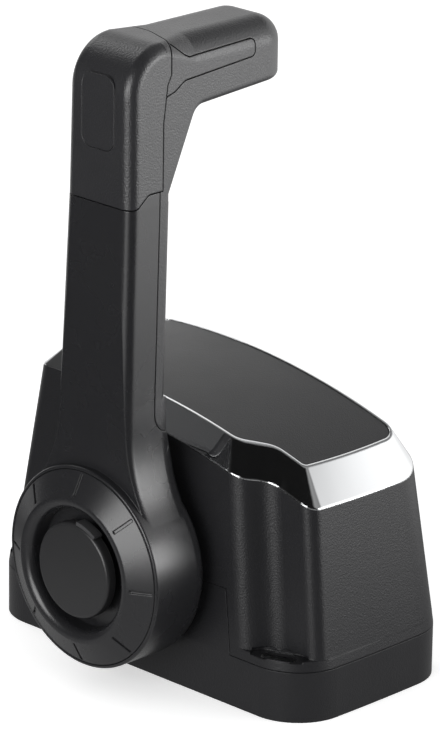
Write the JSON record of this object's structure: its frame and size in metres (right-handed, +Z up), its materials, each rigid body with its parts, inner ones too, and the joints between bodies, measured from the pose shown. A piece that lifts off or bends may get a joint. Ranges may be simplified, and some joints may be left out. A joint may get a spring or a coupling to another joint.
{
  "type": "boat throttle control lever",
  "caption": "Top-mount boat throttle and gear control: tapered black housing with a chrome band, side lever on a round hub with a push button, crossways grip, gear train inside",
  "frame": {"origin": "Centre of the mounting face, at the centre of the four mounting holes, on the deck's surface.", "axes": "+X starboard, away from the lever; +Y forward; +Z up, away from the deck."},
  "size_m": [0.1279, 0.1792, 0.267],
  "materials": {
    "housing_plastic": "fine-grained satin black moulding",
    "gasket_foam": "closed-cell sealing cord",
    "steel": "plain machined steel",
    "plate_steel": "stamped plate",
    "chrome_trim": "bright mirror plating",
    "panel_soft": "soft matte black, finely grained",
    "bush_bronze": "sintered bearing metal",
    "gear_plastic": "dark engineering plastic",
    "friction_lining": "friction lining",
    "lever_plastic": "smooth semi-gloss black",
    "grip_plastic": "leather-like fine grain, dark grey black",
    "cast_core": "as cast",
    "button_plastic": "satin dark grey, left bare",
    "tab_grey": "light grey insert"
  },
  "bodies": {
    "housing": {"base_skirt": "housing_plastic", "base_gasket": "gasket_foam", "main_cover": "housing_plastic", "cover_screws": "steel", "bezel_trim": "chrome_trim", "top_panel": "panel_soft", "port_plate": "plate_steel", "starboard_plate": "plate_steel", "spacer_posts": "steel", "plate_screws": "steel", "outer_bush": "bush_bronze", "inner_bush": "bush_bronze", "shift_pivot_pin": "steel", "throttle_pivot_pin": "steel", "pivot_circlips": "steel", "detent_block": "gear_plastic", "detent_ball": "steel", "detent_spring": "steel", "detent_plug": "steel", "neutral_switch": "gear_plastic", "friction_block": "gear_plastic", "friction_pad": "friction_lining"},
    "lever": {"lever_outer_shell": "lever_plastic", "grip_casing": "grip_plastic", "elbow_cover": "grip_plastic", "grip_strip": "grip_plastic", "elbow_blank_plug": "grip_plastic", "lever_core": "cast_core", "lever_screws": "steel", "hub_back_plate": "lever_plastic", "hub_trim_ring": "lever_plastic", "button_sleeve": "gear_plastic", "button_spring": "steel", "control_shaft": "steel", "shaft_circlip": "steel", "hub_nut": "steel", "thrust_washer": "gear_plastic", "drive_gear": "steel", "detent_disc": "steel"},
    "button": {"hub_button": "button_plastic", "button_tab": "tab_grey", "clutch_rod": "steel"},
    "shift_arm": {"shift_sector": "steel", "shift_cable_pin": "steel"},
    "throttle_arm": {"throttle_sector": "steel", "throttle_cable_pin": "steel"},
    "plunger": {"switch_plunger": "gear_plastic"},
    "friction_adjuster": {"friction_screw": "steel"}
  },
  "joints": [
    {"name": "lever_turn", "type": "hinge", "parent": "housing", "child": "lever", "pos_m": [-0.06, 0, 0.0522], "axis": [1, 0, 0], "range_deg": [-84, 66]},
    {"name": "button_push", "type": "slide", "parent": "lever", "child": "button", "axis": [1, 0, 0], "range_m": [0, 0.004], "stiffness_N_per_m": 900, "springref_m": -0.002, "deforming": ["button_spring"]},
    {"name": "shift_turn", "type": "hinge", "parent": "housing", "child": "shift_arm", "pos_m": [-0.022, -0.036, 0.0522], "axis": [1, 0, 0], "range_deg": [-34, 43]},
    {"name": "throttle_turn", "type": "hinge", "parent": "housing", "child": "throttle_arm", "pos_m": [-0.022, 0.036, 0.0522], "axis": [1, 0, 0], "range_deg": [-34, 43]},
    {"name": "plunger_push", "type": "slide", "parent": "housing", "child": "plunger", "axis": [0, 0, -1], "range_m": [0, 0.0008], "stiffness_N_per_m": 300, "springref_m": -0.001},
    {"name": "friction_turn", "type": "hinge", "parent": "housing", "child": "friction_adjuster", "pos_m": [-0.004, 0, 0.07], "axis": [0, 0, 1], "range_deg": [-180, 180]}
  ],
  "couplings": [
    {"joint": "shift_turn", "follows": "lever_turn", "ratio": -0.5},
    {"joint": "throttle_turn", "follows": "lever_turn", "ratio": -0.5}
  ]
}
